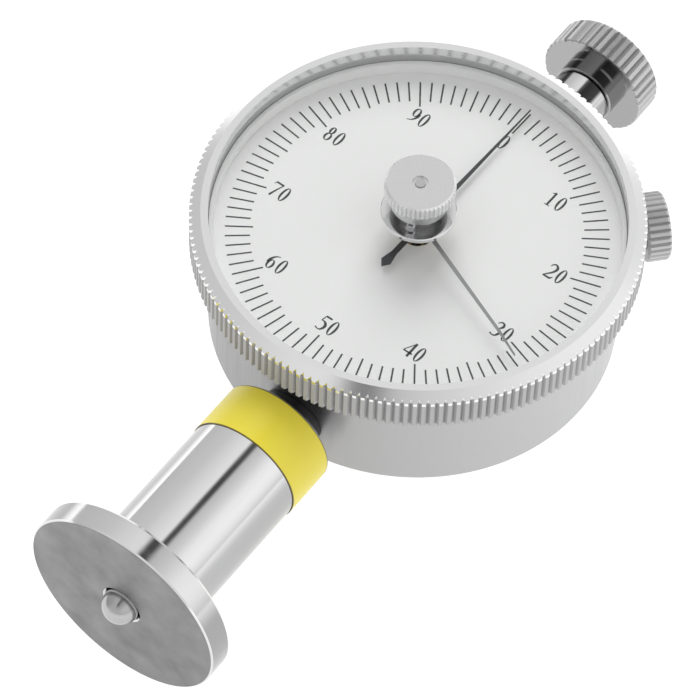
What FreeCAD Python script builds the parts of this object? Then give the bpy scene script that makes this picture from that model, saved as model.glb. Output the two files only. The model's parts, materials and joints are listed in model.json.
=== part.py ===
import FreeCAD, Part
import math
import os
import re

import Sketcher

# Dial hardness tester with two pointers, lying on its back.
# +Z is the normal of the dial, +Y runs from the presser foot to the top knob.
# The origin is the centre of the back cover's outer face. All lengths are millimetres.

Vector = FreeCAD.Vector
doc = FreeCAD.newDocument("hardness_tester")
sheet = doc.addObject("Spreadsheet::Sheet", "sizes")

case_sizes = {
    "dial_thickness": 0.5,
    "case_wall": 2.2,
    "case_edge": 0.4,
    "edge_bevel": 0.3,
    "cover_seat": 1.6,
    "cover_thickness": 1.8,
    "lug_height": 1.3,
    "lug_width": 9.2,
    "lug_inset": 5.1,
    "turn_gap": 0.1,
    "seat_gap": 0.02,
    "bearing_gap": 0.05,
}
bezel_sizes = {
    "bezel_radius": 30,
    "bezel_wall": 2.4,
    "rim_bevel": 1.5,
    "lip_width": 1,
    "crystal_ledge": 0.6,
    "lip_height": 4.7,
    "rim_drop": 1,
    "bezel_knurl_depth": 0.5,
    "bezel_knurl_count": 168,
    "dial_turn": 1.35,
    "dial_bore": 2.2,
    "carrier_flange": 0.6,
    "carrier_wall": 0.8,
    "carrier_depth": 4.5,
    "snap_wire": 0.3,
    "snap_opening": 6,
    "snap_drop": 1.2,
    "gasket_thickness": 0.2,
    "crystal_edge_height": 2.9,
    "crystal_thickness": 0.9,
    "crystal_rise": 1.4,
    "crystal_gap": 0.1,
}
hub_sizes = {
    "drag_arbor_radius": 0.7,
    "bush_radius": 1.8,
    "bush_flange_radius": 3,
    "bush_flange": 0.3,
    "hub_clearance": 0.1,
    "hub_flange_radius": 5,
    "hub_flange_thickness": 0.65,
    "knob_radius": 4.7,
    "knob_rim_length": 1.85,
    "knob_cone_length": 2.45,
    "knob_neck_length": 1.6,
    "knob_base_radius": 3.8,
    "knob_neck_radius": 2.6,
    "knob_recess_radius": 1.05,
    "knob_recess_depth": 0.3,
    "knob_knurl_depth": 0.2,
    "knob_knurl_count": 48,
    "set_screw_radius": 0.6,
    "set_screw_reach": 4,
    "set_screw_angle": -72,
}
hand_sizes = {
    "hand_thickness": 0.12,
    "main_hand_height": 0.95,
    "hand_clearance": 1.7,
    "main_hand_width": 0.8,
    "main_tail_length": 7.9,
    "tail_point": 1,
    "tail_flare": 1.8,
    "tail_width": 1.5,
    "hand_boss_radius": 1.3,
    "hand_boss_height": 0.45,
    "drag_hub_drop": 0.2,
    "drag_hub_radius": 1.6,
    "drag_bend_height": 2.05,
    "drag_tip_height": 1.3,
    "drag_clearance": 3,
    "drag_tip_length": 4.1,
    "drag_hand_width": 0.62,
    "drag_bend_width": 0.4,
    "pointer_tip": 0.16,
    "drag_reading": 31,
}
stem_sizes = {
    "stem_radius": 8,
    "stem_bore": 5,
    "collar_reach": 2.75,
    "stem_length": 29.65,
    "foot_shoulder": 2,
    "stem_spigot_length": 2.5,
    "collar_radius": 4.45,
    "collar_plug": 3.95,
    "spigot_wall": 0.9,
    "bush_wall": 0.75,
    "nut_wall": 0.9,
    "nut_thickness": 2,
    "band_thickness": 0.1,
    "band_width": 7.75,
    "band_offset": 0.1,
    "foot_radius": 14.4,
    "foot_thickness": 3.85,
    "foot_bevel": 0.5,
    "foot_hole_bevel": 0.3,
    "indenter_gap": 0.16,
    "indenter_radius": 2.54,
    "indenter_travel": 2.54,
    "indenter_length": 3.75,
    "indenter_shank": 1.2,
    "indenter_shank_length": 4,
    "spindle_radius": 2.25,
    "spindle_reach": 2.5,
    "spindle_clearance": 0.3,
    "lower_bush_length": 7.2,
    "spring_collar_gap": 0.6,
    "spring_collar_length": 1.6,
    "spring_length": 10.7,
    "spring_wire": 0.35,
    "spring_inset": 0.8,
    "spring_turns": 6,
    "adjuster_length": 2.5,
}
top_sizes = {
    "neck_radius": 4.25,
    "neck_inset": 0.7,
    "neck_reach": 12.3,
    "neck_gap": 0.25,
    "stud_radius": 2,
    "stud_depth": 5.2,
    "stud_cover": 1.1,
    "cap_collar_step": 0.21,
    "cap_collar_length": 2.1,
    "cap_radius": 7.86,
    "cap_length": 4.8,
    "cap_bevel": 0.4,
    "cap_knurl_depth": 0.45,
    "cap_knurl_count": 40,
    "clamp_angle": 47,
    "clamp_clearance": 0.25,
    "clamp_boss_radius": 3,
    "clamp_boss_reach": 2.7,
    "clamp_screw_radius": 1.25,
    "clamp_head_gap": 0.4,
    "clamp_head_radius": 4.65,
    "clamp_head_length": 3.7,
    "clamp_dome": 0.9,
    "clamp_knurl_depth": 0.35,
    "clamp_knurl_count": 30,
    "shoe_radius": 1.9,
    "shoe_gap": 0.2,
    "shoe_length": 1.5,
}
movement_sizes = {
    "rear_plate_inset": 1.3,
    "rear_plate_thickness": 1,
    "front_plate_inset": 4.4,
    "front_plate_thickness": 1.2,
    "front_plate_clearance": 1.1,
    "dial_clearance": 2.5,
    "pillar_radius": 1.5,
    "pillar_inset": 2.4,
    "pillar_angle": 20,
    "rivet_radius": 1,
    "screw_radius": 0.8,
    "screw_head_radius": 1.4,
    "screw_head_height": 0.7,
    "screw_length": 2.6,
    "cover_head_radius": 1.5,
    "cover_screw_inset": 2.5,
    "cover_screw_angle": 5,
    "bridge_clearance": 0.2,
    "bridge_thickness": 0.6,
    "bridge_width": 4,
    "bridge_reach": 8.73,
    "bridge_angle": 13,
    "gear_module": 0.25,
    "wheel_teeth": 64,
    "pinion_teeth": 16,
    "rack_pitch": 0.635,
    "rack_inset": 0.45,
    "rack_teeth_below": 7,
    "rack_teeth_above": 3,
    "backlash": 0.06,
    "wheel_clearance": 0.4,
    "wheel_thickness": 0.5,
    "pinion_thickness": 1.1,
    "rack_pinion_clearance": 0.4,
    "arbor_radius": 0.7,
    "pivot_radius": 0.4,
    "pivot_length": 0.9,
    "arbor_stub": 0.28,
    "centre_arbor_radius": 0.6,
    "collet_radius": 1.1,
    "collet_height": 1,
    "hairspring_turns": 3.5,
    "hairspring_radius": 5.5,
    "hairspring_wire": 0.14,
    "hairspring_width": 0.5,
    "hairspring_clearance": 0.9,
    "guide_pin_radius": 0.6,
    "guide_pin_inset": 11.5,
    "guide_pin_reach": 5.8,
    "guide_start": 3,
    "guide_width": 3.6,
    "guide_length": 9,
    "guide_rise": 2.65,
}

# Sizes that follow from others. The heights are a stack from the back cover up to the dial.
stacked_sizes = {
    "stem_height": "cover_thickness + turn_gap + lug_height + rear_plate_thickness"
                   " + spindle_clearance + spindle_radius",
    "guide_top": "stem_height + guide_rise",
    "bridge_height": "stem_height + spindle_radius + bridge_clearance",
    "wheel_height": "bridge_height + bridge_thickness + wheel_clearance",
    "hairspring_height": "wheel_height + wheel_thickness + hairspring_clearance",
    "front_plate_height": "hairspring_height + hairspring_width + front_plate_clearance",
    "dial_height": "front_plate_height + front_plate_thickness + dial_clearance"
                   " + dial_thickness",
    "centre_arbor_top": "dial_height + main_hand_height + hand_thickness + arbor_stub",
    "clamp_height": "dial_height - dial_thickness - carrier_flange - clamp_head_radius"
                    " - clamp_clearance",
    "shoulder_height": "lip_height - rim_drop",
    "hub_flange_base": "crystal_edge_height + crystal_rise + hub_clearance",
    "hub_flange_top": "hub_flange_base + hub_flange_thickness",
    "knob_base": "hub_flange_top + knob_neck_length",
    "knob_shoulder": "knob_base + knob_cone_length",
    "knob_top": "knob_shoulder + knob_rim_length",
    "case_radius": "bezel_radius - bezel_wall - turn_gap",
    "cover_radius": "case_radius - cover_seat",
    "rim_radius": "bezel_radius - rim_bevel",
    "mouth_radius": "rim_radius - lip_width",
    "window_radius": "mouth_radius - crystal_ledge",
    "main_hand_length": "window_radius - hand_clearance",
    "tail_widest": "main_tail_length - tail_point",
    "tail_start": "tail_widest - tail_flare",
    "drag_tip_radius": "window_radius - drag_clearance",
    "drag_bend_radius": "drag_tip_radius - drag_tip_length",
    "stem_top": "case_radius + collar_reach",
    "stem_end": "stem_top + stem_length",
    "stem_spigot": "stem_radius - foot_shoulder",
    "foot_hole": "indenter_radius + indenter_gap",
    "collar_bore": "spindle_radius + bush_wall",
    "collar_spigot": "collar_bore + spigot_wall",
    "nut_radius": "collar_spigot + nut_wall",
    "spindle_top": "case_radius + spindle_reach",
    "spring_collar_radius": "stem_bore - spring_collar_gap",
    "spring_radius": "spring_collar_radius - spring_inset",
    "neck_bore": "spindle_radius + neck_gap",
    "neck_start": "case_radius - case_wall - neck_inset",
    "neck_end": "case_radius + neck_reach",
    "cap_collar_radius": "neck_radius + cap_collar_step",
    "cap_base": "neck_end + cap_collar_length",
    "cap_end": "cap_base + cap_length",
    "stud_start": "neck_end - stud_depth",
    "stud_end": "cap_end - stud_cover",
    "clamp_boss_end": "case_radius + clamp_boss_reach",
    "clamp_head_base": "clamp_boss_end + clamp_head_gap",
    "rear_plate_radius": "case_radius - case_wall - rear_plate_inset",
    "front_plate_radius": "case_radius - case_wall - front_plate_inset",
    "pillar_circle": "front_plate_radius - pillar_inset",
    "cover_screw_circle": "case_radius - case_wall - cover_screw_inset",
    "guide_pin_place": "case_radius - guide_pin_inset",
    "rack_line": "spindle_radius - rack_inset",
    "rack_pinion_base": "stem_height - spindle_radius - spindle_clearance"
                        " + rack_pinion_clearance",
    "rack_pinion_length": "2 * (stem_height - rack_pinion_base)",
}

RIGHT_ANGLE = 90
PRESSURE_ANGLE = math.radians(20)
RIDGE_SHARE = 0.45
DEGREES_PER_DIVISION = 3.6
SPIRAL_STEPS = 16
COIL_STEPS = 12
WIRE_SIDES = 6

row = 0
for family in (case_sizes, bezel_sizes, hub_sizes, hand_sizes, stem_sizes, top_sizes,
               movement_sizes, stacked_sizes):
    for alias, value in family.items():
        row += 1
        sheet.set("A%d" % row, "=%s" % value)
        sheet.setAlias("A%d" % row, alias)
doc.recompute()

nodes = []


def cell(expression):
    """Spell an expression with every size named in it read from the sheet."""
    return re.sub(r"\b([a-z]+_[a-z_]+)\b", r"sizes.\1", expression)


def number(expression):
    """The present value of an expression of sizes."""
    return float(sheet.evalExpression(cell(expression)))


# Heights and places that several pieces share, worked out from the sizes.
case_inside = "(case_radius - case_wall)"
case_top = "(dial_height - dial_thickness - carrier_flange - turn_gap)"
bezel_base = "(%s + turn_gap)" % case_top
cover_inside = "(cover_thickness + turn_gap)"
lug_top = "(%s + lug_height)" % cover_inside
rear_plate_top = "(%s + rear_plate_thickness)" % lug_top
skirt_radius = "(case_radius + turn_gap)"
carrier_outside = "(%s - bearing_gap)" % case_inside
carrier_inside = "(%s - carrier_wall)" % carrier_outside
snap_height = "(%s - snap_drop)" % bezel_base
snap_reach = "(snap_wire + bearing_gap)"
crystal_base = "(dial_height + crystal_edge_height - crystal_thickness)"
crystal_under = "(%s + crystal_rise)" % crystal_base
bush_base = "(%s - bush_flange - turn_gap)" % crystal_under
drag_hub_base = "(%s - drag_hub_drop)" % bush_base
foot_face = "(stem_end + foot_thickness)"
indenter_back = "(%s - indenter_length)" % foot_face
bush_step = "(%s - indenter_travel - 2 * bearing_gap)" % indenter_back
lower_bush_top = "(%s - lower_bush_length)" % bush_step
spring_base = "(%s - 2 * bearing_gap - spring_collar_length)" % lower_bush_top
adjuster_base = "(%s - spring_length - 2 * turn_gap)" % spring_base
rack_pinion_radius = "(rack_pitch * pinion_teeth / 2 / pi)"
wheel_radius = "(gear_module * wheel_teeth / 2)"
pinion_radius = "(gear_module * pinion_teeth / 2)"
gear_distance = "(%s + %s)" % (wheel_radius, pinion_radius)
wheel_x = "(rack_line + %s)" % rack_pinion_radius
wheel_y = "sqrt(%s ^ 2 - %s ^ 2)" % (gear_distance, wheel_x)
shoe_face = "(%s + shoe_gap)" % carrier_outside

UPRIGHT = FreeCAD.Rotation()
TOWARD_FOOT = FreeCAD.Rotation(Vector(1, 0, 0), RIGHT_ANGLE)
TOWARD_TOP = FreeCAD.Rotation(Vector(1, 0, 0), -RIGHT_ANGLE)
TOWARD_LEFT = FreeCAD.Rotation(Vector(0, 1, 0), -RIGHT_ANGLE)


def outward(angle):
    """Rotation that lays the local Z axis along a radius of the case at this angle from +X."""
    along = Vector(math.cos(math.radians(angle)), math.sin(math.radians(angle)), 0)
    return FreeCAD.Rotation(Vector(0, 0, 1), along)


def about_z(angle):
    return FreeCAD.Rotation(Vector(0, 0, 1), angle)


def put(piece, x="0", y="0", z="0", turn=UPRIGHT):
    """Turn a piece and bind its place to the sheet."""
    piece.Placement = FreeCAD.Placement(Vector(0, 0, 0), turn)
    for letter, place in (("x", x), ("y", y), ("z", z)):
        if place != "0":
            piece.setExpression("Placement.Base." + letter, cell(place))
    return piece


def name_node(piece, label):
    """Keep a finished piece as a sub-part under its own name."""
    piece.Label = label
    nodes.append(piece)
    return piece


def outline_sketch(body, name, role, points):
    """Closed sketch of straight lines through points, each coordinate bound to the sheet."""
    sketch = body.newObject("Sketcher::SketchObject", name + "_sketch")
    plane = [item for item in body.Origin.OriginFeatures if item.Role == role][0]
    sketch.AttachmentSupport = [(plane, "")]
    sketch.MapMode = "FlatFace"
    places = [Vector(number(x), number(y), 0) for x, y in points]
    count = len(points)
    for index in range(count):
        sketch.addGeometry(Part.LineSegment(places[index], places[(index + 1) % count]))
    for index in range(count):
        sketch.addConstraint(Sketcher.Constraint("Coincident", index, 2, (index + 1) % count, 1))
    for index in range(count):
        for kind, expression in (("DistanceX", points[index][0]), ("DistanceY", points[index][1])):
            if kind == "DistanceX" and expression == "0":
                sketch.addConstraint(Sketcher.Constraint("PointOnObject", index, 1, -2))
                continue
            rule = Sketcher.Constraint(kind, -1, 1, index, 1, number(expression))
            added = sketch.addConstraint(rule)
            sketch.setExpression("Constraints[%d]" % added, cell(expression))
    return sketch


def turned(name, points):
    """Lathe-turned piece about its local Z axis, from (radius, height) pairs."""
    body = doc.addObject("PartDesign::Body", name)
    sketch = outline_sketch(body, name, "XZ_Plane", points)
    doc.recompute()
    spin = body.newObject("PartDesign::Revolution", name + "_turn")
    spin.Profile = sketch
    spin.ReferenceAxis = (sketch, ["V_Axis"])
    spin.Angle = 360
    return body


def plate(name, points, thickness, role="XY_Plane", both_ways=False):
    """Flat piece padded from an outline in one of its own planes."""
    body = doc.addObject("PartDesign::Body", name)
    sketch = outline_sketch(body, name, role, points)
    doc.recompute()
    pad = body.newObject("PartDesign::Pad", name + "_pad")
    pad.Profile = sketch
    pad.Midplane = both_ways
    pad.setExpression("Length", cell(thickness))
    return body


def cylinder(name, radius, length):
    rod = doc.addObject("Part::Cylinder", name)
    rod.setExpression("Radius", cell(radius))
    rod.setExpression("Height", cell(length))
    return rod


def tube(name, outside, inside, low, high):
    """Turned ring between two radii and two heights."""
    return turned(name, [(inside, low), (outside, low), (outside, high), (inside, high)])


def joined(name, pieces):
    union = doc.addObject("Part::MultiFuse", name)
    union.Shapes = pieces
    return union


def group(name, pieces):
    """Several separate solids kept as one sub-part."""
    bundle = doc.addObject("Part::Compound", name)
    bundle.Links = pieces
    return bundle


def cut(name, base, tools):
    """Base with every tool taken out of it."""
    remainder = doc.addObject("Part::Cut", name)
    remainder.Base = base
    remainder.Tool = tools[0] if len(tools) == 1 else joined(name + "_tools", tools)
    return remainder


def shaped(name, shape, x="0", y="0", z="0", turn=UPRIGHT):
    """Piece with a shape of its own, from curves that sketches don't give."""
    feature = doc.addObject("Part::Feature", name)
    feature.Shape = shape
    return put(feature, x, y, z, turn)


def polar(radius, angle):
    return Vector(radius * math.cos(angle), radius * math.sin(angle), 0)


def prism(points, low, high):
    corners = [point + Vector(0, 0, low) for point in points]
    wire = Part.makePolygon(corners + [corners[0]])
    return Part.Face(wire).extrude(Vector(0, 0, high - low))


def knurled(name, radius, depth, count, low, high):
    """Straight-knurled bar: ridges with flat tops and grooves cut to a V."""
    outer = number(radius)
    root = outer - number(depth)
    ridges = int(round(number(count)))
    step = 2 * math.pi / ridges
    points = []
    for index in range(ridges):
        points.append(polar(outer, index * step))
        points.append(polar(outer, (index + RIDGE_SHARE) * step))
        points.append(polar(root, (index + (1 + RIDGE_SHARE) / 2) * step))
    return shaped(name, prism(points, number(low), number(high)))


def involute(angle):
    return math.tan(angle) - angle


def gear_prism(module, teeth, thinning, phase, low, high):
    """Spur gear blank with involute flanks and one tooth at the phase angle."""
    pitch = module * teeth / 2
    base = pitch * math.cos(PRESSURE_ANGLE)
    tip = pitch + module
    root = pitch - 1.25 * module
    start = max(root, base)
    half = math.pi / teeth / 2 - thinning / pitch / 2
    flank = []
    for radius in (start, (start + tip) / 2, tip):
        width = half + involute(PRESSURE_ANGLE) - involute(math.acos(base / radius))
        flank.append((radius, width))
    if root < base:
        flank.insert(0, (root, flank[0][1]))
    points = []
    for index in range(teeth):
        middle = phase + 2 * math.pi * index / teeth
        points += [polar(radius, middle - width) for radius, width in flank]
        points += [polar(radius, middle + width) for radius, width in reversed(flank)]
    return prism(points, low, high)


def gear(name, module, teeth, phase, low, high, x="0", y="0"):
    blank = gear_prism(number(module), int(round(number(teeth))), number("backlash"),
                       math.radians(phase), number(low), number(high))
    return shaped(name, blank, x, y)


# Case, back cover and the screws that close it.

LUG_ANGLES = (0, 135, 225)


def on_circle(circle, angle):
    """X and Y expressions of a point on a circle about the case axis."""
    return "%s * cos(%s)" % (circle, angle), "%s * sin(%s)" % (circle, angle)


def screw_holes(prefix, offset, radius, low, high):
    """One cylinder at every lug, set off to one side of it."""
    holes = []
    for lug in LUG_ANGLES:
        x, y = on_circle("cover_screw_circle", "%d + %s" % (lug, offset))
        hole = cylinder("%s_%d" % (prefix, lug), radius, "%s - %s" % (high, low))
        holes.append(put(hole, x, y, low))
    return holes


def case_shell():
    groove = "(%s + %s)" % (case_inside, snap_reach)
    rebate = "(cover_radius + turn_gap)"
    wall = turned("case_wall_ring", [
        (rebate, "case_edge"),
        ("case_radius - edge_bevel", "case_edge"),
        ("case_radius", "case_edge + edge_bevel"),
        ("case_radius", case_top),
        (case_inside, case_top),
        (case_inside, "%s + %s" % (snap_height, snap_reach)),
        (groove, "%s + %s" % (snap_height, snap_reach)),
        (groove, "%s - %s" % (snap_height, snap_reach)),
        (case_inside, "%s - %s" % (snap_height, snap_reach)),
        (case_inside, cover_inside),
        (rebate, cover_inside)])
    lugs = []
    for angle in LUG_ANGLES:
        start = "(%s - lug_inset)" % case_inside
        finish = "(case_radius - case_wall / 2)"
        lug = plate("lug_%d" % angle, [
            (start, "-lug_width / 2"),
            (finish, "-lug_width / 2"),
            (finish, "lug_width / 2"),
            (start, "lug_width / 2")], "lug_height")
        lugs.append(put(lug, z=cover_inside, turn=about_z(angle)))
    shell = joined("shell_blank", [wall] + lugs)
    stem_hole = put(cylinder("stem_hole", "collar_spigot + seat_gap", "2 * case_wall"),
                    y="-%s + case_wall" % case_inside, z="stem_height", turn=TOWARD_FOOT)
    neck_hole = put(cylinder("neck_hole", "neck_radius + seat_gap", "2 * case_wall"),
                    y="%s - case_wall" % case_inside, z="stem_height", turn=TOWARD_TOP)
    x, y = on_circle("(%s - case_wall)" % case_inside, "clamp_angle")
    clamp_hole = put(cylinder("clamp_hole", "clamp_boss_radius", "3 * case_wall"),
                     x, y, "clamp_height", outward(number("clamp_angle")))
    cover_holes = screw_holes("cover_tap", "-cover_screw_angle", "screw_radius + seat_gap",
                              cover_inside, "(%s + screw_radius)" % cover_inside)
    frame_holes = screw_holes("frame_tap", "cover_screw_angle", "screw_radius + seat_gap",
                              "(%s - screw_radius)" % lug_top, lug_top)
    tools = [stem_hole, neck_hole, clamp_hole] + cover_holes + frame_holes
    name_node(cut("case", shell, tools), "case_shell")


def cover_screw(name):
    """Countersunk screw whose flat head lies just inside the cover's face."""
    return turned(name, [
        ("0", "edge_bevel / 2"),
        ("cover_head_radius", "edge_bevel / 2"),
        ("screw_radius", "edge_bevel / 2 + cover_head_radius - screw_radius"),
        ("screw_radius", "%s + screw_radius - seat_gap" % cover_inside),
        ("0", "%s + screw_radius - seat_gap" % cover_inside)])


def cover_seat(name):
    """Tool for a countersunk hole through the cover."""
    mouth = "(cover_head_radius + seat_gap)"
    return turned(name, [
        ("0", "-edge_bevel"),
        (mouth, "-edge_bevel"),
        (mouth, "edge_bevel / 2"),
        ("screw_radius + seat_gap", "edge_bevel / 2 + cover_head_radius - screw_radius"),
        ("screw_radius + seat_gap", cover_inside),
        ("0", cover_inside)])


def at_lugs(make, prefix):
    pieces = []
    for lug in LUG_ANGLES:
        x, y = on_circle("cover_screw_circle", "%d - cover_screw_angle" % lug)
        pieces.append(put(make("%s_%d" % (prefix, lug)), x, y))
    return pieces


def back_cover():
    disc = turned("cover_disc", [
        ("0", "0"),
        ("cover_radius - edge_bevel", "0"),
        ("cover_radius", "edge_bevel"),
        ("cover_radius", "cover_thickness"),
        ("0", "cover_thickness")])
    name_node(cut("cover", disc, at_lugs(cover_seat, "cover_seat")), "back_cover")
    name_node(group("cover_screw_set", at_lugs(cover_screw, "cover_screw")), "cover_screws")


# Bezel with the dial, the crystal and what holds them to the case.

def bezel_ring():
    slope = "((lip_height - shoulder_height) / (bezel_radius - rim_radius))"
    beyond = "(bezel_radius + 1)"
    gasket_seat = "%s - gasket_thickness" % crystal_base
    form = turned("bezel_form", [
        (skirt_radius, bezel_base),
        (beyond, bezel_base),
        (beyond, "dial_height + shoulder_height - " + slope),
        ("rim_radius", "dial_height + lip_height"),
        ("mouth_radius", "dial_height + lip_height"),
        ("mouth_radius", gasket_seat),
        ("window_radius", gasket_seat),
        ("window_radius", "dial_height + seat_gap"),
        (skirt_radius, "dial_height + seat_gap")])
    bar = knurled("bezel_bar", "bezel_radius", "bezel_knurl_depth", "bezel_knurl_count",
                  bezel_base + " - 1", "dial_height + lip_height + 1")
    ring = doc.addObject("Part::Common", "bezel")
    ring.Base = form
    ring.Tool = bar
    name_node(ring, "bezel_ring")


def crystal():
    """Domed crystal: two arcs with the same rise, joined at the rim and the centre bore."""
    rim = number("mouth_radius - crystal_gap")
    bore = number("bush_radius")
    rise = number("crystal_rise")
    base = number(crystal_base)
    thickness = number("crystal_thickness")
    sphere = (rim ** 2 + rise ** 2) / (2 * rise)

    def level(radius, lift):
        return Vector(radius, 0, lift + rise - sphere + math.sqrt(sphere ** 2 - radius ** 2))

    low = [level(radius, base) for radius in (bore, rim / 2, rim)]
    high = [level(radius, base + thickness) for radius in (bore, rim / 2, rim)]
    edges = [Part.Arc(low[0], low[1], low[2]).toShape(),
             Part.LineSegment(low[2], high[2]).toShape(),
             Part.Arc(high[2], high[1], high[0]).toShape(),
             Part.LineSegment(high[0], low[0]).toShape()]
    face = Part.Face(Part.Wire(edges))
    name_node(shaped("dome", face.revolve(Vector(0, 0, 0), Vector(0, 0, 1), 360)), "crystal")


def crystal_gasket():
    name_node(tube("gasket_ring", "mouth_radius - crystal_gap", "window_radius + seat_gap",
                   "%s - gasket_thickness + seat_gap" % crystal_base, crystal_base + " - seat_gap"),
              "crystal_gasket")


def dial_plate():
    name_node(tube("dial_disc", "%s - turn_gap" % skirt_radius, "dial_bore",
                   "dial_height - dial_thickness", "dial_height"), "dial_plate")


def dial_carrier():
    """Flanged ring under the dial: its skirt turns inside the case wall."""
    groove = "(%s - %s)" % (carrier_outside, snap_reach)
    top = "(dial_height - dial_thickness - seat_gap)"
    name_node(turned("carrier_ring", [
        (carrier_inside, bezel_base + " - carrier_depth"),
        (carrier_outside, bezel_base + " - carrier_depth"),
        (carrier_outside, "%s - %s" % (snap_height, snap_reach)),
        (groove, "%s - %s" % (snap_height, snap_reach)),
        (groove, "%s + %s" % (snap_height, snap_reach)),
        (carrier_outside, "%s + %s" % (snap_height, snap_reach)),
        (carrier_outside, bezel_base),
        ("%s - seat_gap" % skirt_radius, bezel_base),
        ("%s - seat_gap" % skirt_radius, top),
        (carrier_inside, top)]), "dial_carrier")


def snap_ring():
    """Open square-wire ring that lies half in the carrier and half in the case wall."""
    wire = tube("snap_wire_ring", "%s + snap_wire" % carrier_outside,
                "%s - snap_wire" % carrier_outside, "-snap_wire", "snap_wire")
    opening = put(plate("snap_gap", [
        ("0", "-snap_opening / 2"),
        ("case_radius", "-snap_opening / 2"),
        ("case_radius", "snap_opening / 2"),
        ("0", "snap_opening / 2")], "4 * snap_wire"), z="-2 * snap_wire")
    name_node(put(cut("snap", wire, [opening]), z=snap_height), "snap_ring")


def hub_bush():
    """Flanged bush through the middle of the crystal, which carries the drag arbor."""
    hole = "drag_arbor_radius + bearing_gap"
    shank = "bush_radius - seat_gap"
    name_node(turned("bush", [
        (hole, bush_base),
        ("bush_flange_radius", bush_base),
        ("bush_flange_radius", bush_base + " + bush_flange"),
        (shank, bush_base + " + bush_flange"),
        (shank, "dial_height + hub_flange_top - turn_gap"),
        (hole, "dial_height + hub_flange_top - turn_gap")]), "hub_bush")


def hub_flange():
    """Polished round nut on the bush, seen under the reset knob."""
    name_node(turned("flange_nut", [
        ("bush_radius", "dial_height + hub_flange_base"),
        ("hub_flange_radius", "dial_height + hub_flange_base"),
        ("hub_flange_radius", "dial_height + hub_flange_top - turn_gap"),
        ("hub_flange_radius - turn_gap", "dial_height + hub_flange_top"),
        ("bush_radius", "dial_height + hub_flange_top")]), "hub_flange")


# Drag pointer with its arbor and reset knob.

def drag_arbor():
    """Pin with a head below the drag hand; its top end shows in the knob's recess."""
    name_node(turned("drag_pin", [
        ("0", drag_hub_base + " - drag_hub_drop"),
        ("drag_hub_radius", drag_hub_base + " - drag_hub_drop"),
        ("drag_hub_radius", drag_hub_base + " - seat_gap"),
        ("drag_arbor_radius", drag_hub_base + " - seat_gap"),
        ("drag_arbor_radius", "dial_height + knob_top - turn_gap"),
        ("0", "dial_height + knob_top - turn_gap")]), "drag_arbor")


def reset_knob():
    """Knurled rim above a smooth cone and a neck, with a recess around the arbor's end."""
    bore = "drag_arbor_radius + seat_gap"
    beyond = "(knob_radius + 1)"
    form = turned("knob_form", [
        (bore, "hub_flange_top + turn_gap"),
        ("knob_neck_radius", "hub_flange_top + turn_gap"),
        ("knob_neck_radius", "knob_base"),
        ("knob_base_radius", "knob_base"),
        ("knob_radius - edge_bevel", "knob_shoulder"),
        (beyond, "knob_shoulder"),
        (beyond, "knob_top - edge_bevel - 1"),
        ("knob_radius - edge_bevel", "knob_top"),
        ("knob_recess_radius", "knob_top"),
        ("knob_recess_radius", "knob_top - knob_recess_depth"),
        (bore, "knob_top - knob_recess_depth")])
    bar = knurled("knob_bar", "knob_radius", "knob_knurl_depth", "knob_knurl_count",
                  "hub_flange_top", "knob_top + 1")
    blank = doc.addObject("Part::Common", "knob_blank")
    blank.Base = form
    blank.Tool = bar
    hole = put(cylinder("knob_screw_hole", "set_screw_radius / 2 + seat_gap", "knob_neck_radius"),
               z="(hub_flange_top + knob_base) / 2", turn=outward(number("set_screw_angle")))
    name_node(put(cut("knob", blank, [hole]), z="dial_height"), "reset_knob")


def knob_screw():
    screw = turned("neck_screw", [
        ("0", "drag_arbor_radius + seat_gap"),
        ("set_screw_radius / 2", "drag_arbor_radius + seat_gap"),
        ("set_screw_radius / 2", "knob_neck_radius + seat_gap"),
        ("set_screw_radius", "knob_neck_radius + seat_gap"),
        ("set_screw_radius", "set_screw_reach"),
        ("0", "set_screw_reach")])
    put(screw, z="dial_height + (hub_flange_top + knob_base) / 2",
        turn=outward(number("set_screw_angle")))
    name_node(screw, "knob_screw")


def pointer_angle(reading):
    """Angle from +Y of a reading on the dial, turned with the bezel, in degrees."""
    return -(number(reading) * DEGREES_PER_DIVISION + number("dial_turn"))


def drag_hand():
    """Slender hand that falls from the hub, with its tip bent down to the scale."""
    outline = plate("drag_top_view", [
        ("-drag_hand_width / 2", "0"),
        ("drag_hand_width / 2", "0"),
        ("drag_bend_width / 2", "drag_bend_radius"),
        ("pointer_tip / 2", "drag_tip_radius"),
        ("-pointer_tip / 2", "drag_tip_radius"),
        ("-drag_bend_width / 2", "drag_bend_radius")], "dial_height")
    put(outline, z="dial_height - dial_thickness")
    bend = "dial_height + drag_bend_height"
    tip = "dial_height + drag_tip_height"
    profile = plate("drag_side_view", [
        ("0", drag_hub_base),
        ("drag_hub_radius", drag_hub_base),
        ("drag_bend_radius", bend),
        ("drag_tip_radius", tip),
        ("drag_tip_radius", tip + " + 2 * hand_thickness"),
        ("drag_bend_radius", bend + " + hand_thickness"),
        ("drag_hub_radius", drag_hub_base + " + hand_thickness"),
        ("0", drag_hub_base + " + hand_thickness")], "2 * drag_hand_width", "YZ_Plane", True)
    blade = doc.addObject("Part::Common", "drag_blade")
    blade.Base = outline
    blade.Tool = profile
    disc = put(cylinder("drag_disc", "drag_hub_radius", "hand_thickness"), z=drag_hub_base)
    hole = put(cylinder("drag_hole", "drag_arbor_radius + seat_gap", "1"),
               z=drag_hub_base + " - 0.5")
    hand = cut("drag", joined("drag_blank", [blade, disc]), [hole])
    name_node(put(hand, turn=about_z(pointer_angle("drag_reading"))), "drag_hand")


# Main pointer and its boss on the centre arbor.

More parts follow.
